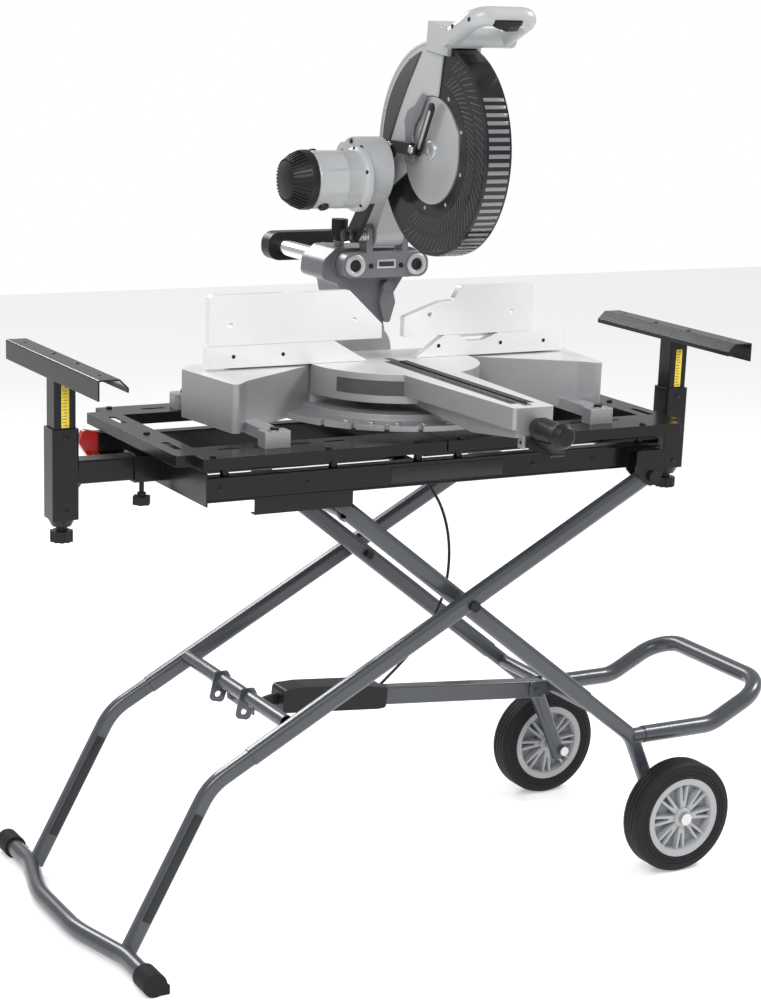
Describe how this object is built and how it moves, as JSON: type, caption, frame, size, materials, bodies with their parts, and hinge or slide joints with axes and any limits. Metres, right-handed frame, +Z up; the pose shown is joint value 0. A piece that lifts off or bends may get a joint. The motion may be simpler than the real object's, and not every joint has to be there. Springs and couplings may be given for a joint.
{
  "type": "mitre saw on rolling stand",
  "caption": "Sliding compound mitre saw on a wheeled scissor-leg folding stand, with slide-out work supports at both ends, a latch brace and a push loop",
  "frame": {"origin": "on the floor at the centre of the bounding box base", "axes": "+X along the stand beam towards the wheels and push loop, -Y towards the operator, +Z up"},
  "size_m": [1.355, 0.912, 1.497],
  "materials": {
    "leg_paint": "gloss slate grey powder coat",
    "frame_black": "gloss black powder coat",
    "zinc_steel": "bright zinc plate",
    "black_steel": "satin black",
    "foot_rubber": "matte",
    "tyre": "matte, grooved",
    "hub_plastic": "light grey moulding",
    "black_plastic": "fine matte",
    "red_plastic": "gloss",
    "cable_jacket": "satin",
    "foam": "soft matte foam",
    "cast_aluminium": "bead blasted casting",
    "machined_aluminium": "machined face",
    "grey_paint": "light grey satin",
    "support_grey": "satin grey casting",
    "chrome_rail": "polished",
    "smoked_plastic": "smoked, near black",
    "blade_steel": "ground"
  },
  "bodies": {
    "outer_frame": {"outer_leg_near": "leg_paint", "outer_leg_far": "leg_paint", "foot_frame": "leg_paint", "foot_caps": "foot_rubber", "outer_cross_tube": "leg_paint", "pivot_bolts": "black_steel"},
    "inner_frame": {"inner_leg_near": "leg_paint", "inner_leg_far": "leg_paint", "inner_cross_tubes": "leg_paint", "wheel_legs": "leg_paint", "handle_loop": "leg_paint", "wheel_axles": "zinc_steel", "gas_spring": "black_steel"},
    "wheel_near": {"tyre_near": "tyre", "hub_near": "hub_plastic"},
    "wheel_far": {"tyre_far": "tyre", "hub_far": "hub_plastic"},
    "track_rollers": {"track_rollers": "black_plastic"},
    "brace": {"brace_tube": "leg_paint", "brace_grip": "black_plastic"},
    "pawl": {"brace_pawl": "black_steel"},
    "platform": {"beam_rails": "frame_black", "beam_left_end": "frame_black", "beam_right_end": "frame_black", "track_channels": "frame_black", "left_tray": "frame_black", "right_tray": "frame_black", "carry_handle": "foam", "saw_base": "cast_aluminium", "fixed_fences": "machined_aluminium", "release_cable": "cable_jacket"},
    "release_lever": {"release_lever": "red_plastic"},
    "left_arm": {"left_arm": "frame_black"},
    "right_arm": {"right_arm": "frame_black"},
    "left_head": {"left_head": "frame_black"},
    "right_head": {"right_head": "frame_black"},
    "left_post_knob": {"left_post_knob": "black_plastic"},
    "right_post_knob": {"right_post_knob": "black_plastic"},
    "left_arm_knob": {"left_arm_knob": "black_plastic"},
    "right_arm_knob": {"right_arm_knob": "black_plastic"},
    "left_fence": {"left_fence": "machined_aluminium"},
    "right_fence": {"right_fence": "machined_aluminium"},
    "turntable": {"turntable": "cast_aluminium", "kerf_plate": "black_plastic"},
    "mitre_grip": {"mitre_grip": "black_plastic"},
    "detent_lever": {"detent_lever": "black_plastic"},
    "bevel_support": {"bevel_support": "support_grey"},
    "rail_lock_knob": {"rail_lock_knob": "black_plastic"},
    "bevel_lever": {"bevel_lever": "support_grey"},
    "slide": {"slide_rails": "chrome_rail", "rail_end_cap": "black_plastic", "rail_carriage": "support_grey"},
    "head": {"saw_head": "grey_paint", "motor": "grey_paint", "d_handle": "grey_paint"},
    "trigger": {"trigger": "black_plastic"},
    "blade": {"blade": "blade_steel"},
    "lower_guard": {"lower_guard": "smoked_plastic", "guard_disc": "machined_aluminium"},
    "guard_link": {"guard_link": "black_steel"}
  },
  "joints": [
    {"name": "scissor_fold", "type": "hinge", "parent": "outer_frame", "child": "inner_frame", "pos_m": [-0.0125, 0.069, 0.535], "axis": [0, -1, 0], "range_deg": [0, 56.6], "deforming": ["release_cable"]},
    {"name": "platform_hinge", "type": "hinge", "parent": "outer_frame", "child": "platform", "pos_m": [0.32853, 0.069, 0.73031], "axis": [0, -1, 0], "range_deg": [0, 24.81]},
    {"name": "roller_spin", "type": "hinge", "parent": "inner_frame", "child": "track_rollers", "pos_m": [-0.26249, 0.069, 0.73031], "axis": [0, 1, 0], "continuous": true},
    {"name": "wheel_spin_near", "type": "hinge", "parent": "inner_frame", "child": "wheel_near", "pos_m": [0.4315, -0.153, 0.1025], "axis": [0, 1, 0], "continuous": true},
    {"name": "wheel_spin_far", "type": "hinge", "parent": "inner_frame", "child": "wheel_far", "pos_m": [0.4315, 0.291, 0.1025], "axis": [0, 1, 0], "continuous": true},
    {"name": "brace_swing", "type": "hinge", "parent": "inner_frame", "child": "brace", "pos_m": [0.2555, 0.069, 0.296], "axis": [0, -1, 0], "range_deg": [-28.61, 0]},
    {"name": "pawl_swing", "type": "hinge", "parent": "brace", "child": "pawl", "pos_m": [-0.24673, 0.069, 0.33817], "axis": [0, -1, 0], "range_deg": [0, 6.01]},
    {"name": "release_lever_turn", "type": "hinge", "parent": "platform", "child": "release_lever", "pos_m": [-0.5105, 0.245, 0.769], "axis": [0, -1, 0], "range_deg": [0, 24], "stiffness_Nm_per_rad": 0.5},
    {"name": "left_arm_slide", "type": "slide", "parent": "platform", "child": "left_arm", "axis": [-1, 0, 0], "range_m": [0, 0.3]},
    {"name": "right_arm_slide", "type": "slide", "parent": "platform", "child": "right_arm", "axis": [1, 0, 0], "range_m": [0, 0.3]},
    {"name": "left_head_height", "type": "slide", "parent": "left_arm", "child": "left_head", "axis": [0, 0, 1], "range_m": [0, 0.08]},
    {"name": "right_head_height", "type": "slide", "parent": "right_arm", "child": "right_head", "axis": [0, 0, 1], "range_m": [0, 0.08]},
    {"name": "left_post_knob_turn", "type": "hinge", "parent": "left_arm", "child": "left_post_knob", "pos_m": [-0.6525, 0.069, 0.67], "axis": [0, 0, 1], "continuous": true},
    {"name": "right_post_knob_turn", "type": "hinge", "parent": "right_arm", "child": "right_post_knob", "pos_m": [0.5185, 0.069, 0.67], "axis": [0, 0, 1], "continuous": true},
    {"name": "left_arm_knob_turn", "type": "hinge", "parent": "platform", "child": "left_arm_knob", "pos_m": [-0.5155, 0.069, 0.7], "axis": [0, 0, 1], "continuous": true},
    {"name": "right_arm_knob_turn", "type": "hinge", "parent": "platform", "child": "right_arm_knob", "pos_m": [0.3835, 0.069, 0.7], "axis": [0, 0, 1], "continuous": true},
    {"name": "left_fence_slide", "type": "slide", "parent": "platform", "child": "left_fence", "axis": [-1, 0, 0], "range_m": [0, 0.06]},
    {"name": "right_fence_slide", "type": "slide", "parent": "platform", "child": "right_fence", "axis": [1, 0, 0], "range_m": [0, 0.1901]},
    {"name": "mitre_turn", "type": "hinge", "parent": "platform", "child": "turntable", "pos_m": [-0.0525, 0.089, 0.91], "axis": [0, 0, 1], "range_deg": [-24, 46]},
    {"name": "mitre_grip_turn", "type": "hinge", "parent": "turntable", "child": "mitre_grip", "pos_m": [-0.0525, -0.364, 0.88], "axis": [0, 1, 0], "continuous": true},
    {"name": "detent_lever_squeeze", "type": "hinge", "parent": "turntable", "child": "detent_lever", "pos_m": [-0.0525, -0.356, 0.855], "axis": [-1, 0, 0], "range_deg": [0, 5], "stiffness_Nm_per_rad": 0.8},
    {"name": "bevel_tilt", "type": "hinge", "parent": "turntable", "child": "bevel_support", "pos_m": [-0.0525, 0.209, 0.91], "axis": [0, 1, 0], "range_deg": [0, 45]},
    {"name": "rail_lock_turn", "type": "hinge", "parent": "bevel_support", "child": "rail_lock_knob", "pos_m": [-0.0965, 0.207, 1.112], "axis": [0, 0, 1], "continuous": true},
    {"name": "bevel_lever_turn", "type": "hinge", "parent": "bevel_support", "child": "bevel_lever", "pos_m": [-0.0185, 0.181, 1.022], "axis": [0, 1, 0], "range_deg": [0, 40]},
    {"name": "rail_slide", "type": "slide", "parent": "bevel_support", "child": "slide", "axis": [0, -1, 0], "range_m": [0, 0.155]},
    {"name": "chop", "type": "hinge", "parent": "slide", "child": "head", "pos_m": [-0.0525, 0.157, 1.112], "axis": [1, 0, 0], "range_deg": [0, 48], "stiffness_Nm_per_rad": 30, "springref_deg": -57.3},
    {"name": "trigger_squeeze", "type": "hinge", "parent": "head", "child": "trigger", "pos_m": [-0.0725, -0.223, 1.482], "axis": [0, -0.7071, 0.7071], "range_deg": [0, 8], "stiffness_Nm_per_rad": 0.8},
    {"name": "blade_spin", "type": "hinge", "parent": "head", "child": "blade", "pos_m": [-0.0525, -0.061, 1.27], "axis": [1, 0, 0], "continuous": true},
    {"name": "guard_swing", "type": "hinge", "parent": "head", "child": "lower_guard", "pos_m": [-0.0525, -0.061, 1.27], "axis": [1, 0, 0], "range_deg": [-157.01, 0]},
    {"name": "guard_link_swing", "type": "hinge", "parent": "slide", "child": "guard_link", "pos_m": [-0.0525, 0.157, 1.112], "axis": [1, 0, 0], "range_deg": [0, 48.01]}
  ],
  "couplings": [
    {"joint": "platform_hinge", "follows": "scissor_fold", "ratio": 0.436},
    {"joint": "brace_swing", "follows": "scissor_fold", "ratio": -0.50528},
    {"joint": "guard_swing", "follows": "chop", "ratio": -3.2708},
    {"joint": "guard_link_swing", "follows": "chop", "ratio": 1},
    {"joint": "right_fence_slide", "follows": "bevel_tilt", "m_per_rad": 0.24192},
    {"joint": "pawl_swing", "follows": "release_lever_turn", "ratio": 0.25}
  ]
}
